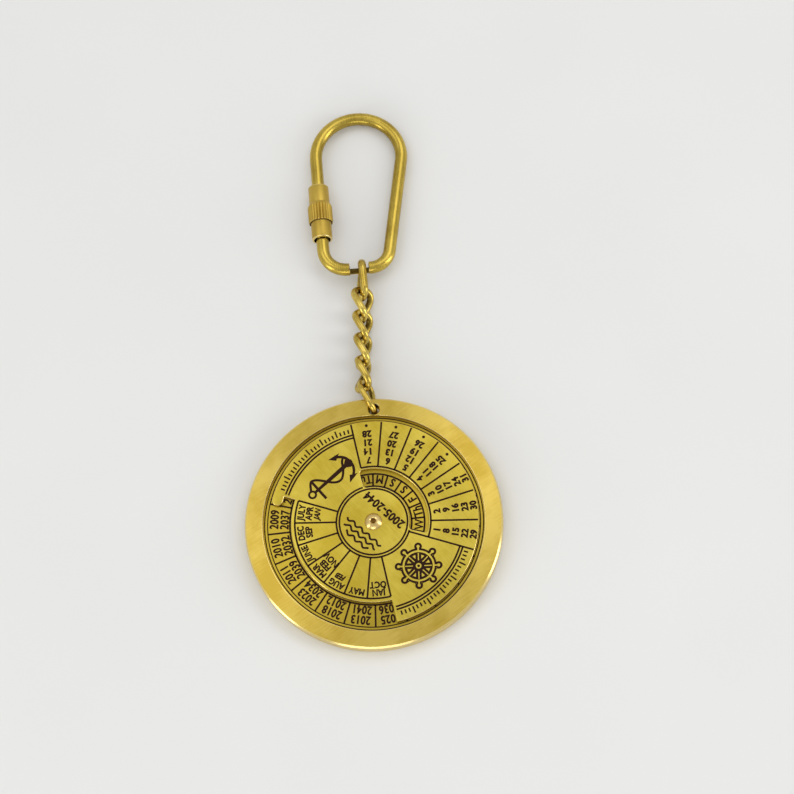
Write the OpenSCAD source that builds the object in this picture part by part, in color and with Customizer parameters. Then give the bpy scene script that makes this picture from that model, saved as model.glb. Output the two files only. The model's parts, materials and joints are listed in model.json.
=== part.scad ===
// Perpetual calendar keyring: a turned brass body with a riveted calendar dial, a rim ring,
// a curb chain and a D-shaped clip that a screw sleeve closes.
// Millimetres. The body lies on its back at z = 0, the pivot stands on +Z and the chain leaves along +Y.

/* [Body] */
// Thickness of the body
body_t = 3; // [2.6:0.1:3.6]
// Width of the flat rim around the recess
rim_w = 3.5; // [3.4:0.05:4.2]
// Chamfer on the rim's edges
rim_chamfer = 0.25; // [0.1:0.05:0.35]
// Diameter of the hole for the rim ring
ring_hole_d = 2.2; // [2.1:0.05:2.5]
// Chamfer at both mouths of that hole
ring_hole_chamfer = 0.25; // [0.15:0.05:0.3]
// Metal left between that hole and the recess
ring_hole_web = 0.15; // [0.1:0.05:0.3]

/* [Dial] */
// Diameter of the dial
dial_d = 40.8; // [40:0.2:44]
// Thickness of the dial
dial_t = 0.8; // [0.6:0.05:1]
// Chamfer on the dial's top edge
dial_chamfer = 0.15; // [0.05:0.05:0.25]
// Radial gap between the dial and the recess wall
dial_gap = 1.1; // [1.05:0.05:1.5]
// Height of the dial's underside above the recess floor
dial_lift = 0.1; // [0.05:0.01:0.2]
// Depth of the dial's face below the rim
dial_sink = 0.1; // [0.05:0.05:0.3]
// Cells that a full circle is divided into, three weeks of seven
circle_cells = 21; // [21:7:28]
// Angle of the body's cells ahead of the dial's cells, as the dial is set
dial_setting = 5.5; // [0:0.5:8]

/* [Windows] */
// Inner radius of the year notch
year_notch_r = 16; // [15.6:0.1:16.6]
// Inner radius of the rounded tab at the end of the year notch
year_tab_r = 18.2; // [18.15:0.05:19]
// Angle from the notch's end to the centre of the tab's round end
year_tab_a = 3; // [1:0.5:5]
// Inner radius of the weekday window
week_window_r = 7; // [6.95:0.05:7.1]
// Radial width of the weekday window
week_window_w = 3.7; // [3.4:0.1:3.8]
// Corner radius of the weekday window
week_corner_r = 0.7; // [0.4:0.1:1]
// Angle from the first date line to the weekday window
week_start_a = 4; // [3:0.5:6]
// Angle of the weekday window past the last date line
week_past_a = 2.5; // [1:0.5:4]

/* [Engraved lines] */
// Width of an engraved line
line_w = 0.28; // [0.2:0.02:0.32]
// Depth of an engraved line
line_depth = 0.12; // [0.08:0.01:0.16]
// Gap between the enamel and its groove
fill_gap = 0.02; // [0.01:0.005:0.03]
// Spacing of a double line
line_pair = 0.58; // [0.5:0.02:0.62]
// Radius of the hub's inner circle
hub_line_r = 6.6; // [6.4:0.05:6.65]
// Radius of the line under the date columns
date_line_r = 11.1; // [11.05:0.05:11.4]
// Radius of the line outside the month cells
month_line_r = 15.25; // [14.8:0.05:15.3]
// Radius of the inner line of the two outer bands
band_line_r = 17.45; // [17:0.05:17.5]
// Radial height of a weekday cell
week_cell_h = 2.5; // [2.3:0.1:2.6]
// Gap from a window's inner edge to the nearest line seen through it
window_line_gap = 0.35; // [0.25:0.05:0.45]
// Gap from the dial's edge to the nearest border circle
border_gap = 0.24; // [0.2:0.02:0.3]

/* [Pivot] */
// Diameter of the rivet's shank
rivet_d = 2.2; // [1.8:0.1:2.6]
// Diameter of the rivet's head
rivet_head_d = 3.4; // [3:0.1:4]
// Height of the rivet's head
rivet_head_h = 0.9; // [0.7:0.05:1.1]
// Radius of the ball that dimples the head
dimple_r = 0.7; // [0.5:0.05:0.8]
// Depth of the dimple in the head
dimple_depth = 0.4; // [0.2:0.05:0.45]
// Diameter of the rivet's flush tail
rivet_tail_d = 3.6; // [3:0.1:4]
// Depth of the countersink that holds the tail
rivet_tail_h = 0.8; // [0.6:0.05:1]
// Depth of the tail below the body's back
rivet_tail_sink = 0.05; // [0.02:0.01:0.1]
// Running gap between the dial and the rivet
pivot_gap = 0.05; // [0.03:0.01:0.08]
// Gap between two pieces that don't move on each other
seat_gap = 0.02; // [0.01:0.01:0.04]
// Diameter of the friction washer
washer_d = 6; // [5:0.2:6.4]
// Thickness of the friction washer's strip
washer_t = 0.18; // [0.1:0.02:0.22]
// Depth of the washer's pocket in the recess floor
washer_pocket = 0.3; // [0.2:0.05:0.4]
// Radial gap around the washer in its pocket
washer_gap = 0.15; // [0.1:0.05:0.3]

/* [Chain] */
// Wire diameter of the rim ring
ring_wire_d = 1.2; // [1:0.05:1.3]
// Gap between the rim ring and the body's rim
ring_gap = 0.15; // [0.1:0.01:0.2]
// Free way for the chain between the rim's edge and the ring's far end
ring_way = 3.5; // [3:0.05:4]
// Lean of the rim ring from +Y, towards -X
ring_lean = 20; // [17:1:23]
// Twist of the rim ring from the rim to its far end
ring_twist = 30; // [26:1:34]
// Wire diameter of a chain link
link_wire_d = 1.4; // [1.2:0.05:1.5]
// Length of a chain link between its wire centres
link_l = 6.5; // [6.3:0.1:7]
// Width of a chain link between its wire centres
link_w = 4.6; // [4.4:0.1:4.9]
// Twist of a chain link from end to end
link_twist = 90; // [80:1:95]
// Turn of the first link about the chain's line
first_link_turn = 85; // [80:1:88]
// Further turn of each next link
next_link_turn = 8; // [5:1:10]
// Wire diameter of the hanger link
hanger_wire_d = 1.6; // [1.4:0.05:1.7]
// Length of the hanger link between its wire centres
hanger_l = 7.3; // [7:0.05:7.8]
// Width of the hanger link between its wire centres
hanger_w = 3.5; // [3.4:0.1:3.8]
// Turn of the hanger link's lower end about the chain's line
hanger_turn = 66; // [60:1:74]
// Gap between the ring's far end and the first link
ring_play = 0.26; // [0.2:0.02:0.3]
// Gap between two wires where they hook together
link_play = 0.14; // [0.1:0.02:0.2]
// Lean of the chain from +Y, towards -X
chain_lean = 1; // [0:0.5:5]
// Fall of the chain towards the table
chain_drop = 2.2; // [1:0.1:3]

/* [Clip] */
// Diameter of the clip's rod
rod_d = 2.5; // [2.2:0.1:2.8]
// Diameter of the neck in the clip's foot
neck_d = 1.2; // [1.1:0.05:1.3]
// Length of the neck
neck_l = 3.8; // [3.4:0.1:4]
// Step from the rod's outer side down to the neck
neck_step = 0.1; // [0.05:0.05:0.3]
// Distance of the gate leg from the middle of the neck
gate_x = 6.9; // [6.7:0.1:7.2]
// Height of the gate leg from the foot to the top bend
leg_h = 25.1; // [24.6:0.1:26.4]
// Radius of the top bend
top_bend_r = 8.7; // [8.6:0.1:9.4]
// Lean of the back leg from the gate leg
back_lean = 11.2; // [9:0.1:12]
// Radius of the bend below the gate leg
gate_bend_r = 4.6; // [4:0.1:4.8]
// Radius of the bend below the back leg
back_bend_r = 4.1; // [3.6:0.1:4.3]
// Amount by which a bend is thinner than the straight rod, all round, where it runs into it
bend_ease = 0.01; // [0.008:0.001:0.015]
// Shift of the clip along its neck, away from the middle of the hanger link
clip_shift = 0.5; // [0:0.1:0.7]
// Turn of the clip on the chain's line
clip_turn = 4; // [0:0.5:6]
// Further fall of the clip towards the table
clip_drop = 1.6; // [0:0.1:3]
// Roll of the clip, which the sleeve props up
clip_roll = 3; // [0:0.5:5]

/* [Sleeve] */
// Height of the sleeve's lower end above the foot
sleeve_y = 7; // [6.4:0.1:7.6]
// Length of the sleeve
sleeve_l = 11.8; // [11.2:0.1:12.2]
// Outside diameter of the sleeve's plain ends
sleeve_d = 4.1; // [3.8:0.1:4.6]
// Outside diameter of the fluted collar
collar_d = 4.9; // [4.7:0.1:5.4]
// Length of the fluted collar
collar_l = 4.3; // [3.4:0.1:5]
// Length of the ramp at the collar's upper end
collar_ramp = 0.8; // [0.6:0.1:1.4]
// Number of flutes round the collar
flutes = 22; // [16:1:28]
// Depth of a flute
flute_depth = 0.25; // [0.15:0.05:0.3]
// Plain land between the flutes and the ramp
flute_land = 0.1; // [0.05:0.05:0.3]
// Chamfer on the sleeve's edges
sleeve_chamfer = 0.2; // [0.1:0.05:0.3]
// Sliding gap between the sleeve and the rod
sleeve_gap = 0.08; // [0.05:0.01:0.1]
// Extra radius of the sleeve's open lower mouth
mouth_gap = 0.35; // [0.2:0.05:0.4]
// Depth of that mouth
mouth_depth = 0.8; // [0.5:0.1:1.2]
// Length of the rod's lower tip inside the sleeve
tip_l = 2; // [1.6:0.1:2.4]
// Gap in the rod that the sleeve closes
gate_gap = 4.7; // [4:0.1:5]
// Pitch of the thread rings on the lower tip
thread_pitch = 0.5; // [0.4:0.05:0.6]

/* [Hidden] */
$fn = 96;
brass = "#c8a84b";
bright_brass = "#dcc06a";
enamel = "#15130f";
// How far a cutting shape runs past the face that it cuts
over = 0.2;

// Levels and radii of the body and dial
dial_r = dial_d / 2;
recess_r = dial_r + dial_gap;
body_r = recess_r + rim_w;
floor_z = body_t - dial_sink - dial_t - dial_lift;
dial_z = floor_z + dial_lift;
face_z = dial_z + dial_t;

// Angles of the dial's four sectors: dates, one band, months, the other band
week = 7;
cell_a = 360 / circle_cells;
date_a = -cell_a;
date_end_a = date_a + week * cell_a;
month_a = date_a + 180;
month_end_a = month_a + week * cell_a;
week_window_a = date_a + week_start_a;
week_window_end_a = date_end_a + week_past_a;
week_window_top_r = week_window_r + week_window_w;

// Radii of the engraved lines
hub_outer_r = hub_line_r + line_pair;
band_outer_r = band_line_r + line_pair;
dial_line_end_r = dial_r - dial_chamfer - fill_gap;
week_line_r = week_window_r + window_line_gap;
week_line_top_r = week_line_r + week_cell_h;
year_line_r = year_notch_r + window_line_gap / 2 + line_w / 2;
border_r = dial_r + border_gap;
line_end_a = 1.5;

// The rim ring clears the hole's inner wall and the rim's corner by the same gap,
// which settles its bend radius and the place of its bend.
hole_r = ring_hole_d / 2;
hole_y = recess_r + ring_hole_web + hole_r;
half_t = body_t / 2;
ring_reach = ring_wire_d - ring_hole_d - ring_hole_chamfer + ring_gap;
ring_in_r = (pow(ring_reach, 2) + pow(half_t, 2) - pow(ring_gap, 2)) / (-2 * (ring_reach + ring_gap));
ring_r = ring_in_r + ring_wire_d / 2;
ring_bend_k = ring_in_r + ring_wire_d - hole_r + ring_gap;
// Distance from the hole to the rim's edge along the ring's line
edge_k = sqrt(pow(body_r, 2) - pow(hole_y * sin(ring_lean), 2)) - hole_y * cos(ring_lean);
ring_run = edge_k + ring_way - ring_bend_k - ring_in_r;
ring_end_k = ring_bend_k + ring_run + ring_r;

// The chain hangs on the ring's far end, and each link's wire lies inside the one before it.
chain_start = [-ring_end_k * sin(ring_lean), hole_y + ring_end_k * cos(ring_lean), half_t];
link_y = -(ring_wire_d + link_wire_d) / 2 - ring_play;
link_step = link_l - link_wire_d - link_play;
hanger_y = link_y + 3 * link_step + link_l - (link_wire_d + hanger_wire_d) / 2 - link_play;
neck_y = hanger_y + hanger_l - (hanger_wire_d + neck_d) / 2 - link_play;
link_rings = 40;
link_sides = 10;

// The clip's rod, in its own plane with the neck's axis along x
rod_r = rod_d / 2;
neck_drop = (rod_d - neck_d) / 2 - neck_step;
top_x = top_bend_r - gate_x;
back_x = (top_x * cos(back_lean) - leg_h * sin(back_lean) + top_bend_r
    - back_bend_r * (1 - sin(back_lean))) / cos(back_lean);
back_l = (top_x - back_x) * sin(back_lean) + (leg_h - back_bend_r) * cos(back_lean);
tip_y = sleeve_y + tip_l;
upper_end_y = tip_y + gate_gap;
sleeve_bore_r = rod_r + sleeve_gap;
collar_y = (sleeve_l - collar_l) / 2;
thread_depth = 0.25 * thread_pitch;

// Engraved line along an arc, or its enamel when trimmed by an inset
module arc_line(r, a1, a2, inset) {
    w = line_w - 2 * inset;
    rotate([0, 0, a1])
        rotate_extrude(angle = a2 - a1)
            translate([r - w / 2, 0])
                square([w, line_depth + (inset > 0 ? -inset : over)]);
}

// Engraved line along a ray
module ray_line(a, r1, r2, inset) {
    w = line_w - 2 * inset;
    rotate([0, 0, a])
        translate([r1, -w / 2, 0])
            cube([r2 - inset - r1, w, line_depth + (inset > 0 ? -inset : over)]);
}

// Lines on the recess floor: weekday ring, border circles and, opposite the weekdays, the year ring
module body_lines(inset) {
    translate([0, 0, floor_z - line_depth]) {
        for (r = [week_line_r, week_line_top_r, year_line_r, border_r, border_r + line_pair])
            arc_line(r, 0, 360, inset);
        for (i = [0 : circle_cells - 1]) {
            ray_line(dial_setting + i * cell_a, week_line_r, week_line_top_r, inset);
            ray_line(dial_setting + 180 + i * cell_a, year_line_r, border_r, inset);
        }
    }
}

// Lines on the dial: hub circles, date columns, month cells and the two bands
module dial_lines(inset) {
    translate([0, 0, face_z - line_depth]) {
        arc_line(hub_line_r, 0, 360, inset);
        arc_line(hub_outer_r, week_window_end_a + line_end_a, week_window_a + 360 - line_end_a, inset);
        arc_line(date_line_r, date_a, date_end_a, inset);
        arc_line(month_line_r, month_a, month_end_a, inset);
        for (r = [band_line_r, band_outer_r]) {
            arc_line(r, date_end_a, month_a - line_end_a, inset);
            arc_line(r, month_end_a + line_end_a, date_a + 360, inset);
        }
        ray_line(date_a, hub_outer_r, dial_line_end_r, inset);
        for (i = [1 : week])
            ray_line(date_a + i * cell_a, date_line_r, dial_line_end_r, inset);
        for (i = [0 : week])
            ray_line(month_a + i * cell_a, hub_outer_r, month_line_r, inset);
    }
}

// Ring sector as a cutting shape
module sector(r1, r2, a1, a2, h) {
    rotate([0, 0, a1])
        rotate_extrude(angle = a2 - a1)
            translate([r1, 0])
                square([r2 - r1, h]);
}

// Round end of a curved slot whose end face lies along +x, out to where its corners of radius c are done
module slot_end(r1, r2, c, h) {
    in_a = asin(c / (r1 + c));
    out_a = asin(c / (r2 - c));
    steps = 6;
    linear_extrude(h)
        polygon([
            for (i = [0 : steps]) let (a = 180 + in_a + (90 - in_a) * i / steps)
                (r1 + c) * [cos(in_a), sin(in_a)] + c * [cos(a), sin(a)],
            for (i = [0 : steps]) let (a = 270 + (90 + out_a) * i / steps)
                (r2 - c) * [cos(out_a), sin(out_a)] + c * [cos(a), sin(a)],
            r2 * [cos(in_a), sin(in_a)]
        ]);
}

// Curved slot with four round corners of radius c
module arc_slot(r1, r2, a1, a2, c, h) {
    in_a = asin(c / (r1 + c));
    sector(r1, r2, a1 + in_a, a2 - in_a, h);
    rotate([0, 0, a1])
        slot_end(r1, r2, c, h);
    rotate([0, 0, a2])
        mirror([0, 1, 0])
            slot_end(r1, r2, c, h);
}

// Edge notch that shows the years, less the round-ended tab that reaches into it
module year_notch(h) {
    tab_r = (dial_r - year_tab_r) / 2;
    difference() {
        sector(year_notch_r, dial_r + 1, month_a, month_end_a, h);
        translate([0, 0, -over]) {
            sector(year_tab_r, dial_r + 2, month_a - 1, month_a + year_tab_a, h + 2 * over);
            rotate([0, 0, month_a + year_tab_a])
                translate([year_tab_r + tab_r, 0, 0])
                    cylinder(r = tab_r, h = h + 2 * over);
        }
    }
}

// Round bar along +y from a point
module rod_run(x, y, l, d) {
    translate([x, y, 0])
        rotate([-90, 0, 0])
            cylinder(d = d, h = l);
}

// Bend of the clip's rod about a point, which runs on into the straight rod at both ends
module rod_bend(x, y, r, a1, a2) {
    reach_a = over / r * 180 / PI;
    translate([x, y, 0])
        rotate([0, 0, a1 - reach_a])
            rotate_extrude(angle = a2 - a1 + 2 * reach_a)
                translate([r, 0])
                    circle(d = rod_d - 2 * bend_ease);
}

// Point at the share s of the way round an oval of straight sides and round ends, with its outward normal:
// [x, y, normal x, normal y]. The oval starts at the foot of its right side and runs from y = 0 to y = l.
function oval_turn(a, y, r) = [r * cos(a), y + r * sin(a), cos(a), sin(a)];
function oval_point(s, l, w) =
    let (r = w / 2, side = l - w, bend = PI * r, way = s * (2 * side + 2 * bend))
    way < side ? [r, r + way, 1, 0]
    : way < side + bend ? oval_turn((way - side) / r * 180 / PI, r + side, r)
    : way < 2 * side + bend ? [-r, r + side - (way - side - bend), -1, 0]
    : oval_turn(180 + (way - 2 * side - bend) / r * 180 / PI, r, r);

// The same point and normal on the twisted oval, turned about y by an angle that grows along the link
function turned(v, a) = [v[0] * cos(a), v[1], v[0] * sin(a)];
function link_point(s, l, w, a1, a2) =
    let (p = oval_point(s, l, w)) turned([p[0], p[1]], a1 + (a2 - a1) * p[1] / l);
function link_normal(s, l, w, a1, a2) =
    let (p = oval_point(s, l, w)) turned([p[2], p[3]], a1 + (a2 - a1) * p[1] / l);
function unit(v) = v / norm(v);

// Closed wire of diameter d along a twisted oval, from the angle a1 at its lower end to a2 at its upper end
module wire_link(l, w, d, a1, a2) {
    n = link_rings;
    m = link_sides;
    points = [
        for (i = [0 : n - 1])
            let (
                s = (i + 0.5) / n,
                p = link_point(s, l, w, a1, a2),
                ahead = link_point((i + 0.75) / n, l, w, a1, a2),
                behind = link_point((i + 0.25) / n, l, w, a1, a2),
                t = unit(ahead - behind),
                rough = link_normal(s, l, w, a1, a2),
                out = unit(rough - (rough * t) * t),
                side = cross(t, out)
            )
            for (j = [0 : m - 1])
                p + d / 2 * (cos(360 * j / m) * out + sin(360 * j / m) * side)
    ];
    faces = [
        for (i = [0 : n - 1])
            for (j = [0 : m - 1])
                let (
                    i2 = (i + 1) % n,
                    j2 = (j + 1) % m,
                    a = i * m + j,
                    b = i * m + j2,
                    c = i2 * m + j2,
                    e = i2 * m + j
                )
                for (f = [[a, b, c], [a, c, e]]) f
    ];
    polyhedron(points, faces);
}

// The chain's own frame: its line along y, from the wire of the ring's far end
module on_chain(y) {
    translate(chain_start)
        rotate([-chain_drop, 0, chain_lean])
            translate([0, y, 0])
                children();
}

// The clip's own frame: the neck's axis along x, the rod's plane in x and y
module on_clip() {
    on_chain(neck_y)
        rotate([-clip_drop, clip_roll, clip_turn])
            translate([-clip_shift, neck_drop, 0])
                children();
}

module calendar_body() {
    bore_r = rivet_d / 2 + seat_gap;
    pocket_r = washer_d / 2 + washer_gap;
    color(brass)
        difference() {
            rotate_extrude()
                polygon([
                    [rivet_tail_d / 2 + seat_gap, 0],
                    [body_r - rim_chamfer, 0],
                    [body_r, rim_chamfer],
                    [body_r, body_t - rim_chamfer],
                    [body_r - rim_chamfer, body_t],
                    [recess_r, body_t],
                    [recess_r, floor_z],
                    [pocket_r, floor_z],
                    [pocket_r, floor_z - washer_pocket],
                    [bore_r, floor_z - washer_pocket],
                    [bore_r, rivet_tail_h]
                ]);
            translate([0, hole_y, 0]) {
                translate([0, 0, -over])
                    cylinder(r = hole_r, h = body_t + 2 * over);
                for (end = [0, 1])
                    translate([0, 0, end * body_t])
                        mirror([0, 0, end])
                            cylinder(r1 = hole_r + ring_hole_chamfer, r2 = hole_r, h = ring_hole_chamfer);
            }
            body_lines(0);
        }
}

module body_line_fill() {
    color(enamel) body_lines(fill_gap);
}

module calendar_dial() {
    bore_r = rivet_d / 2 + pivot_gap;
    cut_h = dial_t + 2 * over;
    color(brass)
        difference() {
            translate([0, 0, dial_z])
                rotate_extrude()
                    polygon([
                        [bore_r, 0],
                        [dial_r, 0],
                        [dial_r, dial_t - dial_chamfer],
                        [dial_r - dial_chamfer, dial_t],
                        [bore_r, dial_t]
                    ]);
            translate([0, 0, dial_z - over]) {
                year_notch(cut_h);
                arc_slot(week_window_r, week_window_top_r, week_window_a, week_window_end_a, week_corner_r, cut_h);
            }
            dial_lines(0);
        }
}

module dial_line_fill() {
    color(enamel) dial_lines(fill_gap);
}

module pivot_rivet() {
    head_z = face_z + pivot_gap;
    head_r = rivet_head_d / 2;
    dome_r = (pow(head_r, 2) + pow(rivet_head_h, 2)) / (2 * rivet_head_h);
    top_z = head_z + rivet_head_h;
    color(bright_brass)
        difference() {
            union() {
                rotate_extrude()
                    polygon([
                        [0, rivet_tail_sink],
                        [rivet_tail_d / 2 - rivet_tail_sink, rivet_tail_sink],
                        [rivet_d / 2, rivet_tail_h],
                        [rivet_d / 2, head_z + over],
                        [0, head_z + over]
                    ]);
                intersection() {
                    translate([0, 0, top_z - dome_r])
                        sphere(r = dome_r);
                    translate([0, 0, head_z])
                        cylinder(r = head_r + over, h = rivet_head_h + over);
                }
            }
            translate([0, 0, top_z - dimple_depth + dimple_r])
                sphere(r = dimple_r);
        }
}

module friction_washer() {
    bore_r = rivet_d / 2 + washer_gap;
    rise = washer_pocket + dial_lift - seat_gap;
    color(bright_brass)
        translate([0, 0, floor_z - washer_pocket])
            rotate_extrude()
                polygon([
                    [washer_d / 2, 0],
                    [washer_d / 2, washer_t],
                    [bore_r, rise],
                    [bore_r, rise - washer_t]
                ]);
}

module rim_ring() {
    color(brass)
        translate([0, hole_y, half_t])
            rotate([0, 0, ring_lean])
                translate([0, ring_bend_k - ring_r, 0])
                    wire_link(ring_run + 2 * ring_r, 2 * ring_r, ring_wire_d, 90, 90 + ring_twist);
}

// Chain link number i, counted from the rim
module chain_link(i) {
    turn = first_link_turn + (i - 1) * next_link_turn;
    color(brass)
        on_chain(link_y + (i - 1) * link_step)
            wire_link(link_l, link_w, link_wire_d, turn - link_twist / 2, turn + link_twist / 2);
}

module hanger_link() {
    color(brass)
        on_chain(hanger_y)
            wire_link(hanger_l, hanger_w, hanger_wire_d, hanger_turn, 90);
}

module clip_rod() {
    gate_foot_x = gate_bend_r - gate_x;
    color(brass)
        on_clip() {
            difference() {
                rod_run(-gate_x, gate_bend_r, tip_y - gate_bend_r, rod_d);
                for (y = [tip_y - thread_pitch / 2 : -thread_pitch : sleeve_y + mouth_depth])
                    translate([-gate_x, y, 0])
                        rotate([-90, 0, 0])
                            rotate_extrude()
                                polygon([
                                    [rod_r - thread_depth, 0],
                                    [rod_r + over, -thread_depth - over],
                                    [rod_r + over, thread_depth + over]
                                ]);
            }
            rod_bend(gate_foot_x, gate_bend_r, gate_bend_r, 180, 270);
            rotate([0, 0, -90]) {
                rod_run(0, gate_foot_x, -neck_l / 2 - gate_foot_x, rod_d);
                rod_run(neck_drop, -neck_l / 2 - over, neck_l + 2 * over, neck_d);
                rod_run(0, neck_l / 2, back_x - neck_l / 2, rod_d);
            }
            rod_bend(back_x, back_bend_r, back_bend_r, 270, 360 - back_lean);
            translate([back_x, back_bend_r, 0])
                rotate([0, 0, -back_lean])
                    rod_run(back_bend_r, 0, back_l, rod_d);
            rod_bend(top_x, leg_h, top_bend_r, -back_lean, 180);
            rod_run(-gate_x, upper_end_y, leg_h - upper_end_y, rod_d);
        }
}

module screw_sleeve() {
    plain_r = sleeve_d / 2;
    collar_r = collar_d / 2;
    c = sleeve_chamfer;
    collar_end_y = collar_y + collar_l;
    flute_w = sqrt(2) * flute_depth;
    flute_l = collar_l - collar_ramp - flute_land + over;
    color(brass)
        on_clip()
            translate([-gate_x, sleeve_y, 0])
                rotate([-90, 0, 0])
                    difference() {
                        rotate_extrude()
                            polygon([
                                [sleeve_bore_r + mouth_gap, 0],
                                [plain_r - c, 0],
                                [plain_r, c],
                                [plain_r, collar_y],
                                [collar_r - c, collar_y],
                                [collar_r, collar_y + c],
                                [collar_r, collar_end_y - collar_ramp],
                                [plain_r, collar_end_y],
                                [plain_r, sleeve_l - c],
                                [plain_r - c, sleeve_l],
                                [sleeve_bore_r, sleeve_l],
                                [sleeve_bore_r, mouth_depth],
                                [sleeve_bore_r + mouth_gap, mouth_depth]
                            ]);
                        for (i = [0 : flutes - 1])
                            rotate([0, 0, i * 360 / flutes])
                                translate([collar_r, 0, collar_y - over])
                                    rotate([0, 0, 45])
                                        translate([-flute_w / 2, -flute_w / 2, 0])
                                            cube([flute_w, flute_w, flute_l]);
                    }
}

calendar_body();
body_line_fill();
calendar_dial();
dial_line_fill();
pivot_rivet();
friction_washer();
rim_ring();
chain_link(1);  // chain_link_1
chain_link(2);  // chain_link_2
chain_link(3);  // chain_link_3
chain_link(4);  // chain_link_4
hanger_link();
clip_rod();
screw_sleeve();
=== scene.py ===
import json
import math
from datetime import date

import bmesh
import bpy
from mathutils import Matrix, Vector
from mathutils.geometry import interpolate_bezier


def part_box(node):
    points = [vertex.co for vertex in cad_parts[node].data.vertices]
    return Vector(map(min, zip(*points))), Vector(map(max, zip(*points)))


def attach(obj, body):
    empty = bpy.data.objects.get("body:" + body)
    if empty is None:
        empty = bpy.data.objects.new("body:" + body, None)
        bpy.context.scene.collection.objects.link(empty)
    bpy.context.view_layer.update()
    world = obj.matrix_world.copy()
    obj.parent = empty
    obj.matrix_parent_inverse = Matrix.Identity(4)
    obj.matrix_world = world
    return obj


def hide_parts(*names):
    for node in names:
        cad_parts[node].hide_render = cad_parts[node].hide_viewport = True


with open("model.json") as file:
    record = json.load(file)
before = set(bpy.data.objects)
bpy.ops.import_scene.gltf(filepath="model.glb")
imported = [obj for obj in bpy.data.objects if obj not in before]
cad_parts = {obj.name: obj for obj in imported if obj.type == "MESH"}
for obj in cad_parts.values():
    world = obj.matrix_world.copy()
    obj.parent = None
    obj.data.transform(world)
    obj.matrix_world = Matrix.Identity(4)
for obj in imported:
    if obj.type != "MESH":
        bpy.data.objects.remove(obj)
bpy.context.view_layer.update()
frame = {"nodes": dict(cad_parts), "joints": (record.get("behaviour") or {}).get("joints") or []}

# Calendar body
# A solid brass disc, turned on a lathe with a flat rim and a shallow recess for the dial. A hole drilled
# through the rim takes the ring, and the rivet's tail sits in a countersink in the back.
mm = 0.001
round_steps = 240
body_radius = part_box("calendar_body")[1].x / mm
body_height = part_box("calendar_body")[1].z / mm
rim_width = 3.5
rim_chamfer = 0.3
dial_low, dial_high = (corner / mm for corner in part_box("calendar_dial"))
dial_clearance = 0.1
recess_radius = body_radius - rim_width
recess_ease = 0.14
floor_height = dial_low.z - dial_clearance
pocket_radius = 3.15
pocket_depth = 0.3
pocket_floor = floor_height - pocket_depth
rivet_bore = 1.12
tail_bore = 1.82
tail_height = 0.8
web_width = 0.15
web_angle = math.radians(15)
web_ease_share = 0.2
ring_hole_radius = 1.1
ring_hole_round = 0.25
ring_hole_grow, ring_hole_shift = 0.64, 0.48
ring_hole_steps = 48
ring_hole_y = recess_radius + web_width + ring_hole_radius
# An eased edge has two flats, which meet at this share of the ease from each face.
knee = 0.3
eased_angle = math.radians(18)
weld = 0.002
pieces = []


def turn(bm, profile, steps):
    """Turns a profile of (radius, height) points all the way round the vertical axis, as a lathe does."""
    points = [bm.verts.new((radius, 0, height)) for radius, height in profile]
    edges = [bm.edges.new(pair) for pair in zip(points, points[1:])]
    bmesh.ops.spin(
        bm, geom=points + edges, cent=(0, 0, 0), axis=(0, 0, 1),
        angle=math.tau, steps=steps, use_merge=True,
    )


def wall(bm, outline, levels):
    """Joins the loops of an outline at each (inset, height)."""
    below = []
    for inset, height in levels:
        points = [bm.verts.new((x, y, height)) for x, y in outline(inset)]
        loop = [bm.edges.new((points[i - 1], points[i])) for i in range(len(points))]
        if below:
            bmesh.ops.bridge_loops(bm, edges=below + loop)
        below = loop


def close_flat(bm, height):
    """Fills the flat face between all the open edges at one height."""
    level = {v for v in bm.verts if abs(v.co.z - height) < 1e-4}
    edges = [e for e in bm.edges if e.is_boundary and level.issuperset(e.verts)]
    bmesh.ops.triangle_fill(bm, use_beauty=True, edges=edges, normal=(0, 0, 1))


def hole_outline(inset):
    """Hole in the rim, eased most on the side where the ring rubs, away from the thin web to the recess."""
    radius = ring_hole_radius + ring_hole_grow * inset
    middle = ring_hole_y + ring_hole_shift * inset
    angles = [math.tau * i / ring_hole_steps for i in range(ring_hole_steps)]
    return [(radius * math.cos(a), middle + radius * math.sin(a)) for a in angles]


def recess_outline(inset):
    """Edge of the recess, eased least over the thin web beside the ring's hole."""
    points = []
    for i in range(round_steps):
        angle = math.tau * i / round_steps
        from_web = abs(angle - math.pi / 2) / web_angle
        radius = recess_radius + inset * min(1.0, web_ease_share + (1 - web_ease_share) * from_web)
        points.append((radius * math.cos(angle), radius * math.sin(angle)))
    return points


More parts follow.
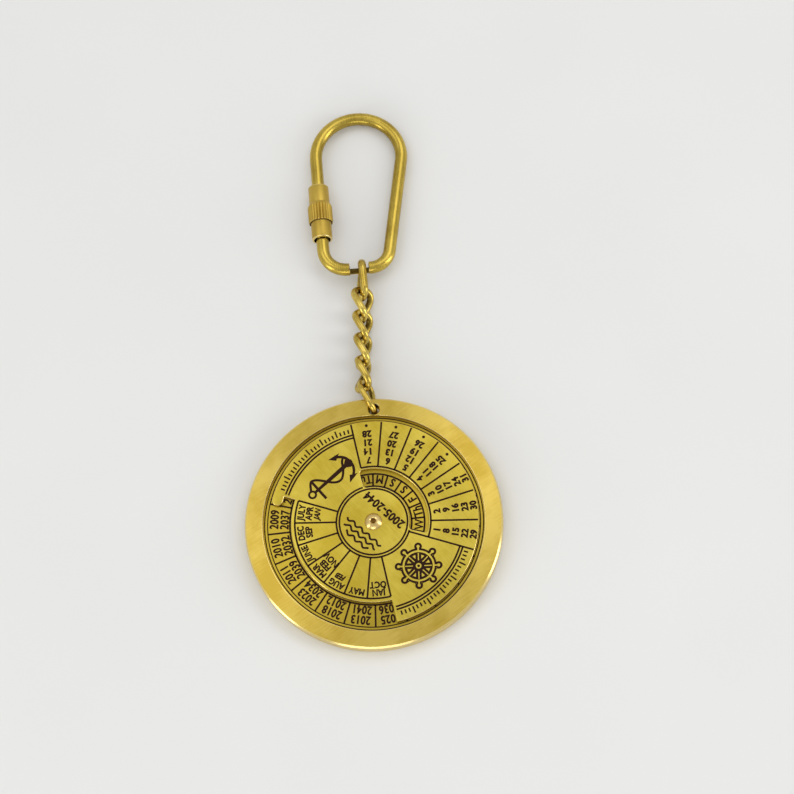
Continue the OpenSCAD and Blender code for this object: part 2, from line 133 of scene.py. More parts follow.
def add_piece(name, bm, material, body, slot, *replaced, smooth_below, shade_and_tarnish=None):
    """Closes a mesh, marks the faces to be painted paler for wear and a painted highlight and those to be
    painted darker for painted shade and tarnish, and hands it to its body in place of a solid.

    A face gets the paler wear and painted highlight where it is a narrow one between two eased edges. A
    rule of the piece says how much painted shade, or tarnish, each face gets. Edges that bend by less than
    an angle in degrees are smooth."""
    bmesh.ops.remove_doubles(bm, verts=bm.verts, dist=weld)
    bmesh.ops.recalc_face_normals(bm, faces=bm.faces)
    bm.normal_update()
    # Layers for the paler paint of wear and painted highlight on eased edges, and for the darker paint of
    # painted shade and tarnish that the piece's rule gives.
    wear_and_glint = bm.faces.layers.float.new("wear_and_glint")
    painted_shade_and_tarnish = bm.faces.layers.float.new("shade_and_tarnish")
    for face in bm.faces:
        face.smooth = True
        eased = [e for e in face.edges if e.is_manifold and e.calc_face_angle_signed() > eased_angle]
        face[wear_and_glint] = float(len(eased) == 2 and not set(eased[0].verts) & set(eased[1].verts))
        face[painted_shade_and_tarnish] = shade_and_tarnish(face) if shade_and_tarnish else 0.0
    bmesh.ops.scale(bm, vec=(mm, mm, mm), verts=bm.verts)
    mesh = bpy.data.meshes.new(name)
    bm.to_mesh(mesh)
    bm.free()
    mesh.materials.append(material)
    mesh.set_sharp_from_angle(angle=math.radians(smooth_below))
    piece = bpy.data.objects.new(name, mesh)
    bpy.context.scene.collection.objects.link(piece)
    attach(piece, body)
    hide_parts(*replaced)
    pieces.append(piece)


def colour(code):
    """Linear colour of an sRGB hex value."""
    shares = [int(code[i:i + 2], 16) / 255 for i in (1, 3, 5)]
    return (*(s / 12.92 if s <= 0.04045 else ((s + 0.055) / 1.055) ** 2.4 for s in shares), 1.0)


def add_node(tree, kind, sockets=None, **settings):
    """Adds a node with its settings, and sets or links its input sockets."""
    node = tree.nodes.new(kind)
    for name, value in settings.items():
        setattr(node, name, value)
    for socket, value in (sockets or {}).items():
        if isinstance(value, bpy.types.NodeSocket):
            tree.links.new(value, node.inputs[socket])
        else:
            node.inputs[socket].default_value = value
    return node


# Colour and roughness of narrow eased edges: partly wear, partly a painted highlight where lamps would
# glint on them.
wear_and_glint_brass = "#ecd48a"
wear_and_glint_rough = 0.25
cloud_size = 7
streak_share = 0.4
scratch_depth = 0.02
# Most of a noise pattern's values lie between these two.
noise_low, noise_high = 0.3, 0.7


def brass(name, bright, toned, painted_shade_and_tarnish, grain, rough, scratch, place=Matrix(), lathe=0.0):
    """Brass with a grain of the given streak sizes along the axes of a place.

    It gives the eye a warm yellow metal with soft, slightly streaked highlights and faint clouds of
    handling. It is painted darker on the faces that its piece marks, as painted shade in hollows and on
    inner sides and as tarnish, and painted paler and brighter on its narrow eased edges, as wear and as a
    painted highlight. The fine rings of a lathe's facing cut spread the shine outwards, so that a flat face
    is brighter on two opposite sides."""
    material = bpy.data.materials.new(name)
    material.use_nodes = True
    tree = material.node_tree
    tree.nodes.clear()
    where = add_node(tree, "ShaderNodeTexCoord").outputs["Object"]
    there = place.inverted()
    local = add_node(tree, "ShaderNodeMapping", {
        "Vector": where, "Location": there.to_translation() * mm, "Rotation": there.to_euler(),
    })
    along = add_node(tree, "ShaderNodeMapping", {
        "Vector": local.outputs["Vector"], "Scale": [1 / (size * mm) for size in grain],
    })
    streaks = add_node(tree, "ShaderNodeTexNoise", {
        "Vector": along.outputs["Vector"], "Scale": 1.0, "Detail": 3.0, "Roughness": 0.6,
    }).outputs["Fac"]
    clouds = add_node(tree, "ShaderNodeTexNoise", {
        "Vector": where, "Scale": 1 / (cloud_size * mm), "Detail": 4.0, "Roughness": 0.55,
    }).outputs["Fac"]
    marks = add_node(tree, "ShaderNodeMath", {
        0: streaks, 1: streak_share, 2: clouds,
    }, operation="MULTIPLY_ADD")
    tone = add_node(tree, "ShaderNodeMapRange", {
        "Value": marks.outputs["Value"], "From Min": 0.55, "From Max": 0.85, "To Min": 0.0, "To Max": 1.0,
    })
    base = add_node(tree, "ShaderNodeMix", {
        "Factor": tone.outputs["Result"], 6: colour(toned), 7: colour(bright),
    }, data_type="RGBA")
    # Darker paint where the piece marks it: painted shade in hollows and on inner sides, and tarnish.
    inside = add_node(tree, "ShaderNodeAttribute", attribute_name="shade_and_tarnish").outputs["Fac"]
    with_shade_and_tarnish = add_node(tree, "ShaderNodeMix", {
        "Factor": inside, 6: base.outputs[2], 7: colour(painted_shade_and_tarnish),
    }, data_type="RGBA")
    # Paler, smoother paint on narrow eased edges: wear and a painted highlight.
    edge = add_node(tree, "ShaderNodeAttribute", attribute_name="wear_and_glint").outputs["Fac"]
    metal = add_node(tree, "ShaderNodeMix", {
        "Factor": edge, 6: with_shade_and_tarnish.outputs[2], 7: colour(wear_and_glint_brass),
    }, data_type="RGBA")
    grained = add_node(tree, "ShaderNodeMapRange", {
        "Value": streaks, "From Min": noise_low, "From Max": noise_high,
        "To Min": rough[0], "To Max": rough[1],
    })
    roughness = add_node(tree, "ShaderNodeMix", {
        "Factor": edge, 2: grained.outputs["Result"], 3: wear_and_glint_rough,
    })
    bump = add_node(tree, "ShaderNodeBump", {
        "Height": streaks, "Strength": scratch, "Distance": scratch_depth * mm,
    })
    shader = add_node(tree, "ShaderNodeBsdfPrincipled", {
        "Base Color": metal.outputs[2], "Roughness": roughness.outputs[0], "Normal": bump.outputs["Normal"],
        "Metallic": 1.0, "Anisotropic": lathe, "Anisotropic Rotation": 0.25,
    })
    if lathe:
        rings = add_node(tree, "ShaderNodeTangent", direction_type="RADIAL", axis="Z")
        tree.links.new(rings.outputs["Tangent"], shader.inputs["Tangent"])
    add_node(tree, "ShaderNodeOutputMaterial", {"Surface": shader.outputs["BSDF"]})
    return material


def in_recess(face):
    """Whether a face looks up from the recess, where no hand rubs it."""
    half_way = (body_height + floor_height) / 2
    return float(face.calc_center_median().z < half_way and face.normal.z > 0.5)


# Faced on a lathe and rubbed across on a belt: a bright rim that shines on two opposite sides, with streaks
# 4 mm long, drawn 0.3 mm wide so that they show.
body_brass = brass(
    "turned_brass_body", "#dfc360", "#c8a943", "#c0a63a", (4, 0.3, 0.3), (0.3, 0.4), 0.12,
    Matrix.Rotation(math.radians(35), 4, "Z"), lathe=0.75,
)
body_mesh = bmesh.new()
turn(body_mesh, [
    (body_radius - rim_chamfer, 0), (body_radius, rim_chamfer),
    (body_radius, body_height - rim_chamfer), (body_radius - rim_chamfer, body_height),
], round_steps)
wall(body_mesh, recess_outline, [
    (recess_ease, body_height), (knee * recess_ease, body_height - knee * recess_ease),
    (0, body_height - recess_ease), (0, floor_height),
])
turn(body_mesh, [
    (recess_radius, floor_height), (pocket_radius, floor_height), (pocket_radius, pocket_floor),
    (rivet_bore, pocket_floor), (rivet_bore, tail_height), (tail_bore, 0),
], round_steps)
wall(body_mesh, hole_outline, [
    (ring_hole_round, body_height), (knee * ring_hole_round, body_height - knee * ring_hole_round),
    (0, body_height - ring_hole_round), (0, ring_hole_round),
    (knee * ring_hole_round, knee * ring_hole_round), (ring_hole_round, 0),
])
close_flat(body_mesh, body_height)
close_flat(body_mesh, 0)
add_piece(
    "calendar_body_brass", body_mesh, body_brass, "calendar", "body_brass", "calendar_body",
    smooth_below=12, shade_and_tarnish=in_recess,
)

# Figures and lines of the body
# Black enamel wiped into lines and figures engraved in the recess floor: two border circles, the ring of
# years under the dial's notch and the ring of weekdays under its window.
cells = 21
cell = math.tau / cells
body_cells = math.radians(5.5)
enamel_depth = 0.08
enamel_proud = 0.008
line_width = 0.36
line_pair = 0.58
dial_radius = dial_high.x
border_width = 0.22
border_gap = 0.24
border_radius = dial_radius + border_gap
week_line = 7.35
week_line_top = 9.85
week_height = 1.55
week_radius = 8.75
week_letters = ("Th", "F", "S", "S", "M", "Tu", "W")
year_line = 16.3
year_height = 1.58
year_radii = (19.35, 17.35)
first_year, last_year = 2005, 2044
# Height of the font's figures as a share of its size
figure_share = 0.69


def polar(radius, angle):
    """Point at a radius and angle about the pivot."""
    return Vector((radius * math.cos(angle), radius * math.sin(angle)))


def arc_points(radius, start, end, step=math.radians(1.5)):
    """Points along an arc, at an even spacing."""
    count = max(2, math.ceil(abs(end - start) / step))
    return [
        (radius * math.cos(a), radius * math.sin(a))
        for a in (start + (end - start) * i / count for i in range(count + 1))
    ]


def sink(bm, faces):
    """Makes flat faces solid, from their tops down into the metal."""
    drawn = bmesh.ops.extrude_face_region(bm, geom=faces, use_keep_orig=True)["geom"]
    verts = [g for g in drawn if isinstance(g, bmesh.types.BMVert)]
    bmesh.ops.translate(bm, vec=(0, 0, -enamel_depth), verts=verts)


def inlay(bm, surface, *outlines):
    """Fills flat outlines with enamel, the later ones being holes in the first."""
    edges = []
    for outline in outlines:
        points = [bm.verts.new((x, y, surface + enamel_proud)) for x, y in outline]
        edges += [bm.edges.new((points[i - 1], points[i])) for i in range(len(points))]
    filled = bmesh.ops.triangle_fill(bm, use_beauty=True, edges=edges, normal=(0, 0, 1))["geom"]
    sink(bm, [g for g in filled if isinstance(g, bmesh.types.BMFace)])


def inlay_circle(bm, surface, radius, width=line_width, centre=(0, 0)):
    """A closed ring of enamel."""
    rings = [arc_points(radius + side * width / 2, 0, math.tau)[:-1] for side in (1, -1)]
    inlay(bm, surface, *[[(centre[0] + x, centre[1] + y) for x, y in ring] for ring in rings])


def inlay_arc(bm, surface, radius, start, end):
    """A line of enamel along an arc."""
    outer = arc_points(radius + line_width / 2, start, end)
    inlay(bm, surface, outer + arc_points(radius - line_width / 2, end, start))


def inlay_bar(bm, surface, start, end, width=line_width):
    """A straight line of enamel between two points."""
    ahead = (end - start).normalized()
    across = Vector((-ahead.y, ahead.x)) * width / 2
    inlay(bm, surface, [start + across, start - across, end - across, end + across])


def embolden(bm, swell):
    """Moves the outlines of flat figures outwards, so that their strokes grow wider."""
    # Holds back a sharp corner, where the pushes of its two sides nearly cancel.
    sharpest = 1.6
    pushes = {}
    for edge in bm.edges:
        if edge.is_boundary:
            loop = edge.link_loops[0]
            along = loop.link_loop_next.vert.co - loop.vert.co
            out = along.cross(loop.face.normal).normalized()
            for vert in edge.verts:
                pushes.setdefault(vert, []).append(out)
    for vert, outs in pushes.items():
        push = sum(outs, Vector())
        vert.co += push * swell * len(outs) / max(push.length_squared, sharpest)


def figures(bm, surface, words, height, radius, angle, tops_out=False, narrow=0.8, lean=0.0, swell=0.085):
    """Figures of enamel, centred at a radius and angle, their tops away from the pivot or towards it."""
    curve = bpy.data.curves.new("figures", "FONT")
    curve.body = words
    curve.align_x = "CENTER"
    curve.size = height / figure_share
    curve.shear = lean
    curve.space_character = 1.06
    curve.resolution_u = 3
    text = bpy.data.objects.new("figures", curve)
    bpy.context.scene.collection.objects.link(text)
    bpy.context.view_layer.update()
    mesh = bpy.data.meshes.new_from_object(text.evaluated_get(bpy.context.evaluated_depsgraph_get()))
    place = Matrix.Translation((*polar(radius, angle), surface + enamel_proud))
    upright = place @ Matrix.Rotation(angle + math.radians(-90 if tops_out else 90), 4, "Z")
    narrowed = upright @ Matrix.Diagonal((narrow, 1, 1, 1))
    mesh.transform(narrowed @ Matrix.Translation((0, -height / 2, 0)))
    cut = bmesh.new()
    cut.from_mesh(mesh)
    bmesh.ops.remove_doubles(cut, verts=cut.verts, dist=weld / 2)
    bmesh.ops.recalc_face_normals(cut, faces=cut.faces)
    embolden(cut, swell)
    sink(cut, cut.faces[:])
    cut.to_mesh(mesh)
    cut.free()
    bm.from_mesh(mesh)
    bpy.data.objects.remove(text)
    bpy.data.curves.remove(curve)
    bpy.data.meshes.remove(mesh)


# Stoving enamel: it gives the eye a nearly black line, slightly brown where it is thin, with a soft shine.
black_enamel = bpy.data.materials.new("black_stoving_enamel")
black_enamel.use_nodes = True
tree = black_enamel.node_tree
tree.nodes.clear()
thin_size = 1.2
thin = add_node(tree, "ShaderNodeTexNoise", {
    "Vector": add_node(tree, "ShaderNodeTexCoord").outputs["Object"],
    "Scale": 1 / (thin_size * mm), "Detail": 3.0,
}).outputs["Fac"]
base = add_node(tree, "ShaderNodeMix", {
    "Factor": thin, 6: colour("#1e0e05"), 7: colour("#36190a"),
}, data_type="RGBA")
gloss = add_node(tree, "ShaderNodeMapRange", {
    "Value": thin, "From Min": noise_low, "From Max": noise_high, "To Min": 0.4, "To Max": 0.6,
})
shader = add_node(tree, "ShaderNodeBsdfPrincipled", {
    "Base Color": base.outputs[2], "Roughness": gloss.outputs["Result"], "Specular IOR Level": 0.12,
})
add_node(tree, "ShaderNodeOutputMaterial", {"Surface": shader.outputs["BSDF"]})

body_enamel = bmesh.new()
for radius in (week_line, week_line_top, year_line):
    inlay_circle(body_enamel, floor_height, radius)
for radius in (border_radius, border_radius + line_pair):
    inlay_circle(body_enamel, floor_height, radius, border_width)
for i in range(cells):
    week_angle = body_cells + i * cell
    inlay_bar(body_enamel, floor_height, polar(week_line, week_angle), polar(week_line_top, week_angle))
    year_angle = week_angle + math.pi
    inlay_bar(body_enamel, floor_height, polar(year_line, year_angle), polar(border_radius, year_angle))
    figures(
        body_enamel, floor_height, week_letters[i % 7], week_height, week_radius, week_angle + cell / 2,
        narrow=0.85,
    )

# The seven pairs under the notch at rest share their weekdays from March on. The cells farther round hold
# years that begin on the same weekday as the first year of a pair.
first_pairs = (
    (2009, 2037), (2010, 2032), (2011, 2039), (2023, 2034), (2018, 2012), (2013, 2041), (2025, 2036),
)
for i, pair in enumerate(first_pairs):
    weekday = date(pair[0], 1, 1).weekday()
    alike = [y for y in range(first_year, last_year + 1) if date(y, 1, 1).weekday() == weekday]
    others = [y for y in alike if y not in pair]
    for turn_number, years in enumerate((pair, others[:2], others[2:4])):
        year_angle = body_cells + math.pi - cell / 2 + (i + 7 * turn_number) * cell
        for year, radius in zip(years, year_radii):
            figures(body_enamel, floor_height, str(year), year_height, radius, year_angle, tops_out=True)
add_piece(
    "body_enamel", body_enamel, black_enamel, "calendar", "black_enamel", "body_line_fill", smooth_below=20,
)

# Friction washer
# A dished washer punched from phosphor bronze strip. It lies in the pocket under the dial, round the rivet,
# and its spring keeps the dial where it is set.
# Rolled strip: it gives the eye a redder, duller metal than brass, with fine streaks 0.2 mm wide.
bronze = brass(
    "phosphor_bronze_strip", "#b98a52", "#a67743", "#8a5f35", (4, 0.2, 0.2), (0.28, 0.4), 0.1,
)
washer = frame["nodes"]["friction_washer"]
washer.data.materials.clear()
washer.data.materials.append(bronze)

# Calendar dial
# A disc cut from half-hard brass sheet, with a notch in its edge for the years and a curved window for the
# weekdays. Its edges are eased, and its face is linished to a fine even grain.
dial_under = dial_low.z
dial_face = dial_high.z
dial_round = 0.17
dial_bore = 1.15
dial_bore_steps = 48
dates_start = -cell
dates_end = dates_start + 7 * cell
months_start = dates_start + math.pi
months_end = months_start + 7 * cell
notch_radius = 16
tab_radius = 18.2
tab_angle = math.radians(3)
tab_steps = 12
window_radius = 7
window_top = 10.7
window_corner = 0.7
corner_steps = 6
window_start = dates_start + math.radians(4)
window_end = dates_end + math.radians(2.5)


def rounded(radius, height, ease):
    """Profile points of a rounded corner between a wall and a flat, from the wall to the flat."""
    return [
        (radius - ease * (1 - math.cos(a)), height - ease * (1 - math.sin(a)))
        for a in (math.radians(step) for step in (0, 22.5, 45, 67.5, 90))
    ]


def dial_outline(inset):
    """Edge of the dial with its year notch and the round tab that reaches into it, set in by a distance."""
    round_end = (dial_radius - tab_radius) / 2
    tab_at = months_start + tab_angle
    middle = polar(tab_radius + round_end, tab_at)
    tab_end = [
        middle + (round_end - inset) * Vector((math.cos(a), math.sin(a)))
        for a in (tab_at + math.pi * i / tab_steps for i in range(1, tab_steps))
    ]
    start = months_start - inset / notch_radius
    end = months_end + inset / notch_radius
    return [
        *arc_points(dial_radius - inset, end, tab_at + math.tau), *tab_end,
        *arc_points(tab_radius + inset, tab_at, start), *arc_points(notch_radius - inset, start, end),
    ]


def window_outline(inset):
    """Edge of the weekday window with its round corners, opened by a distance."""
    low, high, corner = window_radius - inset, window_top + inset, window_corner + inset
    corners = []
    for radius, angle, turn_from, side in (
        (high - corner, window_end, 0, -1), (low + corner, window_end, 90, -1),
        (low + corner, window_start, 180, 1), (high - corner, window_start, 270, 1),
    ):
        middle = polar(radius, angle + side * math.asin(window_corner / radius))
        turns = (angle + math.radians(turn_from + 90 * i / corner_steps) for i in range(corner_steps + 1))
        corners.append([middle + corner * Vector((math.cos(a), math.sin(a))) for a in turns])
    tuck_low, tuck_high = window_corner / low, window_corner / high
    low_side = arc_points(low, window_end - tuck_low, window_start + tuck_low)[1:-1]
    high_side = arc_points(high, window_start + tuck_high, window_end - tuck_high)[1:-1]
    return [*corners[0], *corners[1], *low_side, *corners[2], *corners[3], *high_side]


dial_edge = [(0, dial_under)] + [
    (dial_radius - r, h) for r, h in rounded(dial_radius, dial_face, dial_round)
]
dial_mesh = bmesh.new()
wall(dial_mesh, dial_outline, dial_edge)
wall(dial_mesh, window_outline, dial_edge)
turn(dial_mesh, [(dial_bore, dial_under), (dial_bore, dial_face)], dial_bore_steps)
close_flat(dial_mesh, dial_face)
close_flat(dial_mesh, dial_under)
# Linished sheet: it gives the eye an even satin yellow, with streaks 3 mm long, drawn 0.25 mm wide so that
# they show.
dial_brass = brass(
    "linished_brass_dial", "#d2bc4d", "#bfa637", "#a08829", (3, 0.25, 0.25), (0.3, 0.44), 0.08,
    Matrix.Rotation(math.radians(-48), 4, "Z"),
)
add_piece(
    "calendar_dial_brass", dial_mesh, dial_brass, "dial", "dial_brass", "calendar_dial", smooth_below=18,
)

# Figures and lines of the dial
# Black enamel in engraved lines: seven date columns over the window, seven month cells over the notch,
# plain graduated bands between them, a ship's wheel, a fouled anchor and waves.
hub_line = 6.6
hub_pair = hub_line + line_pair
date_line = 11.1
date_height = 1.2
date_radii = (12.4, 14.2, 16, 17.8, 19.5)
dot_radius = 0.3
dot_steps = 16
month_line = 15.25
month_height = 1.2
month_radii = (14.15, 12.6, 11.05)
leap_height = 1.0
leap_lean = 0.3
line_gap = 0.02
line_end = dial_radius - dial_round - line_gap
gap_angle = math.radians(1.5)
dial_enamel = bmesh.new()
inlay_circle(dial_enamel, dial_face, hub_line)
inlay_arc(dial_enamel, dial_face, hub_pair, window_end + gap_angle, window_start + math.tau - gap_angle)
inlay_arc(dial_enamel, dial_face, date_line, dates_start, dates_end)
inlay_arc(dial_enamel, dial_face, month_line, months_start, months_end)
for i in range(8):
    date_angle = dates_start + i * cell
    month_angle = months_start + i * cell
    date_foot = date_line if i else hub_pair
    inlay_bar(dial_enamel, dial_face, polar(date_foot, date_angle), polar(line_end, date_angle))
    inlay_bar(dial_enamel, dial_face, polar(hub_pair, month_angle), polar(month_line, month_angle))


def circle(centre, radius, steps):
    """Points all round a circle."""
    return [centre + polar(radius, math.tau * i / steps) for i in range(steps)]


# A column's dates fall on one weekday, and a dot stands where the month has no more days.
for column in range(7):
    date_angle = dates_start + (column + 0.5) * cell
    for row, radius in enumerate(date_radii):
        day = 1 + column + 7 * row
        if day < 32:
            figures(
                dial_enamel, dial_face, str(day), date_height, radius, date_angle, narrow=0.98, swell=0.11,
            )
        else:
            inlay(dial_enamel, dial_face, circle(polar(radius, date_angle), dot_radius, dot_steps))

# The months of one cell begin on the same weekday; the leaning ones, marked here, are for leap years.
month_cells = (
    ("JULY", "APR", "/JAN"), ("DEC", "SEP"), ("JUNE",), ("MAR", "FEB", "NOV"),
    ("AUG", "/FEB"), ("MAY",), ("JAN", "OCT"),
)
for i, months in enumerate(month_cells):
    month_angle = months_start + (i + 0.5) * cell
    for words, radius in zip(months, month_radii):
        leap = words.startswith("/")
        figures(
            dial_enamel, dial_face, words.strip("/"), leap_height if leap else month_height, radius,
            month_angle, tops_out=True, narrow=0.82, lean=leap_lean if leap else 0.0,
        )

# Graduated bands, in 24 parts each, with every fourth tick long
band_line = 17.45
band_pair = band_line + line_pair
ticks = 24
tick_width = 0.32
tick_gap = 0.45
tick_short, tick_long = 1.3, 1.85
for start, end in (
    (dates_end, months_start - gap_angle), (months_end + gap_angle, dates_start + math.tau),
):
    for radius in (band_line, band_pair):
        inlay_arc(dial_enamel, dial_face, radius, start, end)
    for i in range(1, ticks):
        at = start + (end - start) * i / ticks
        top = band_pair + (tick_short if i % 4 else tick_long)
        inlay_bar(dial_enamel, dial_face, polar(band_pair + tick_gap, at), polar(top, at), tick_width)

# Ship's wheel: a rim with eight handles, eight spokes with open wedges between them, and a hub
wheel_at = polar(12.5, math.radians(314.2))
wheel_turn = math.radians(1.5)
wheel_step = math.radians(6)
handles = 8
handle_step = math.tau / handles
handle_radius = 3.85
rim_outside = {"rim": 3.5, "neck": 0.52, "knob": 0.76}
rim_inside = {"rim": 3.08, "neck": 0.14, "knob": 0.3}
disc_radius = 2.72
disc_steps = 40
spoke_start, spoke_end, spoke_half = 1.1, 2.56, 0.1
wedge_end, wedge_side = 2.24, 0.56
hub_radius = 0.55
hub_dot_radius = hub_radius / 2


def wheel_outline(rim, neck, knob):
    """Outline of the wheel's rim and handles, of a rim radius, a half neck width and a knob radius."""
    foot = math.asin(neck / rim)
    mouth = math.pi - math.asin(neck / knob)
    points = []
    for i in range(handles):
        at = wheel_turn + i * handle_step
        knob_at = wheel_at + polar(handle_radius, at)
        points += [knob_at + polar(knob, at + mouth * (k / 6 - 1)) for k in range(13)]
        between = arc_points(rim, at + foot, at + handle_step - foot, wheel_step)
        points += [wheel_at + Vector(point) for point in between]
    return points


inlay(dial_enamel, dial_face, wheel_outline(**rim_outside), wheel_outline(**rim_inside))
wheel_gaps = []
for i in range(handles):
    at = wheel_turn + i * handle_step
    across = polar(spoke_half, at + math.pi / 2)
    wheel_gaps.append([
        wheel_at + polar(reach, at) + side * across
        for reach, side in ((spoke_start, 1), (spoke_end, 1), (spoke_end, -1), (spoke_start, -1))
    ])
    tuck = math.asin(wedge_side / wedge_end)
    wedge_arc = arc_points(wedge_end, at + tuck, at + handle_step - tuck, wheel_step)
    wheel_gaps.append([
        wheel_at + polar(wedge_side / math.sin(handle_step / 2), at + handle_step / 2),
        *(wheel_at + Vector(point) for point in wedge_arc),
    ])
disc, hub = (circle(wheel_at, radius, disc_steps) for radius in (disc_radius, hub_radius))
inlay(dial_enamel, dial_face, disc, hub, *wheel_gaps)
inlay(dial_enamel, dial_face, circle(wheel_at, hub_dot_radius, disc_steps))

# Fouled anchor: shackle, stock, shank, crown, two thin arms with barbed flukes, and a rope that winds round
# the shank. Each part lies a thin coat higher than the one it crosses, so that no two faces coincide.
anchor_at = Vector((-11.85, 5.6))
anchor_turn = Matrix.Rotation(math.radians(42.3), 2)
coat = 0.004
shackle_radius = 0.67
shackle_line = 0.42
arm_width = 0.54
rope_width = 0.46
shank = ((0.75, 0.26), (5, 0.38), (9, 0.42), (9, -0.42), (5, -0.38), (0.75, -0.26))
stock = ((1.32, 2.2), (1.84, 2.26), (1.74, -2.4), (1.2, -2.37))
crown = ((8.5, 0.4), (9.3, 0.95), (10.2, 0.25), (10.2, -0.25), (9.3, -0.95), (8.5, -0.4))
arm = ((9.85, 0.1), (9.63, 1.08), (9.2, 1.82), (8.55, 2.42))
fluke = ((6.95, 3.15), (8.25, 2.96), (9.4, 2.72), (8.58, 2.38), (7.95, 1.95))
rope = (
    (0.2, 0.6), (0.8, 1.5), (1.4, 2.1), (2, 2.05), (2.8, 1.4), (3.65, 0.3), (4.5, -0.8),
    (5.4, -1.45), (6.3, -1.5), (7.05, -1), (7.75, -0.3), (8.2, 0.4), (8.6, 1), (9.2, 1.5),
)


def on_anchor(points, side=1):
    """Points of the anchor, x along its shank from the shackle, on one side of it or the other."""
    return [anchor_at + anchor_turn @ Vector((x, side * y)) for x, y in points]


def smooth_line(points, steps=6):
    """Points along a smooth curve through a few points."""
    ends = [2 * points[0] - points[1], *points, 2 * points[-1] - points[-2]]
    line = []
    for before, start, end, after in zip(ends, ends[1:], ends[2:], ends[3:]):
        line += interpolate_bezier(
            start, start + (end - before) / 6, end - (after - start) / 6, end, steps + 1
        )[:-1]
    return [point.to_2d() for point in line] + [points[-1]]


def inlay_ribbon(bm, surface, points, width):
    """A line of enamel along a free curve."""
    sides = [[], []]
    for i, point in enumerate(points):
        ahead = (points[min(i + 1, len(points) - 1)] - points[max(i - 1, 0)]).normalized()
        across = Vector((-ahead.y, ahead.x)) * width / 2
        sides[0].append(point + across)
        sides[1].append(point - across)
    inlay(bm, surface, sides[0] + sides[1][::-1])


inlay_circle(dial_enamel, dial_face, shackle_radius, shackle_line, anchor_at)
inlay(dial_enamel, dial_face + coat, on_anchor(shank))
inlay(dial_enamel, dial_face + 2 * coat, on_anchor(stock))
inlay(dial_enamel, dial_face + 2 * coat, on_anchor(crown))
for side in (1, -1):
    inlay_ribbon(dial_enamel, dial_face + 3 * coat, smooth_line(on_anchor(arm, side)), arm_width)
    inlay(dial_enamel, dial_face + 4 * coat, on_anchor(fluke, side))
inlay_ribbon(dial_enamel, dial_face + 5 * coat, smooth_line(on_anchor(rope)), rope_width)

# Hub: the span of years in plain numbers on one side of the rivet, and rows of waves on the other
span_height = 1.6
span_radius = 3.05
span_angle = math.radians(48)
wave_rows = ((2.7, 4.4), (3.8, 4.0), (4.9, 2.9))
wave_angle = math.radians(228)
wave_swing = polar(0.27, wave_angle)
wave_along = polar(1, math.radians(138))
wave_length = 1.9
wave_width = 0.4
wave_steps = 30
figures(
    dial_enamel, dial_face, f"{first_year}-{last_year}", span_height, span_radius, span_angle,
    narrow=0.92, swell=0.1,
)
for radius, half_width in wave_rows:
    crest = polar(radius, wave_angle)
    wave = []
    for i in range(-wave_steps, wave_steps + 1):
        rise = math.cos(i / wave_steps * half_width * math.tau / wave_length)
        wave.append(crest + wave_along * half_width * i / wave_steps + wave_swing * rise)
    inlay_ribbon(dial_enamel, dial_face, wave, wave_width)
add_piece(
    "dial_enamel", dial_enamel, black_enamel, "dial", "black_enamel", "dial_line_fill", smooth_below=20,
)

# Pivot rivet
# A brass rivet whose tail is hammered into the back's countersink. Its low domed head has a dimple from the
# setting punch and is rubbed bright.
rivet_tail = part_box("pivot_rivet")[0].z / mm
tail_radius = 1.75
shank_radius = 1.1
head_radius = 1.7
head_gap = 0.05
head_under = dial_face + head_gap
head_height = 0.9
dome_radius = (head_radius ** 2 + head_height ** 2) / (2 * head_height)
dome_centre = head_under + head_height - dome_radius
dome_steps = 14
dimple_radius = 0.72
dimple_depth = 0.32
dimple_steps = 8
rivet_steps = 64
dome = []
for i in range(dome_steps, -1, -1):
    out = dimple_radius + (head_radius - dimple_radius) * (1 - (1 - i / dome_steps) ** 2)
    dome.append((out, dome_centre + math.sqrt(dome_radius ** 2 - out ** 2)))
dimple = []
for i in range(1, dimple_steps + 1):
    out = dimple_radius * (1 - i / dimple_steps)
    dimple.append((out, dome[-1][1] - dimple_depth * (1 - (out / dimple_radius) ** 2)))
rivet_mesh = bmesh.new()
turn(rivet_mesh, [
    (0, rivet_tail), (tail_radius, rivet_tail), (shank_radius, tail_height), (shank_radius, head_under),
    *dome, *dimple,
], rivet_steps)


def in_dimple(face):
    """Whether a face lies in the dimple, which is painted dark brown as painted shade."""
    return float(face.calc_center_median().xy.length < 0.8 * dimple_radius)


# Rubbed brass: it gives the eye the brightest spot of the part, pale gold, with painted shade, dark brown,
# in its dimple.
rivet_brass = brass(
    "rubbed_brass_rivet", "#f0d898", "#d8b568", "#6e4c1e", (2, 0.4, 0.4), (0.24, 0.32), 0.02,
)
add_piece(
    "pivot_rivet_brass", rivet_mesh, rivet_brass, "calendar", "rivet_brass", "pivot_rivet",
    smooth_below=60, shade_and_tarnish=in_dimple,
)

# Rim ring
# A jump ring of round brass wire, sprung open, passed through the rim's hole and closed with a slight
# twist, so that its far end leans the way the chain's links do.
joints = {joint["name"]: joint for joint in frame["joints"]}
places = {name: Vector(joint["pos_m"]) / mm for name, joint in joints.items() if "pos_m" in joint}
wire_sides = 24
wire_stations = 72
ring_wire = 1.2
ring_bend = 2.41
ring_turn = math.radians(90)
ring_twist = math.radians(30)


def frame_of(origin, x_axis, y_axis):
    """Place with its origin and its x and y axes."""
    x_axis, y_axis = x_axis.normalized(), y_axis.normalized()
    turned = Matrix((x_axis, y_axis, x_axis.cross(y_axis))).transposed()
    return Matrix.Translation(origin) @ turned.to_4x4()


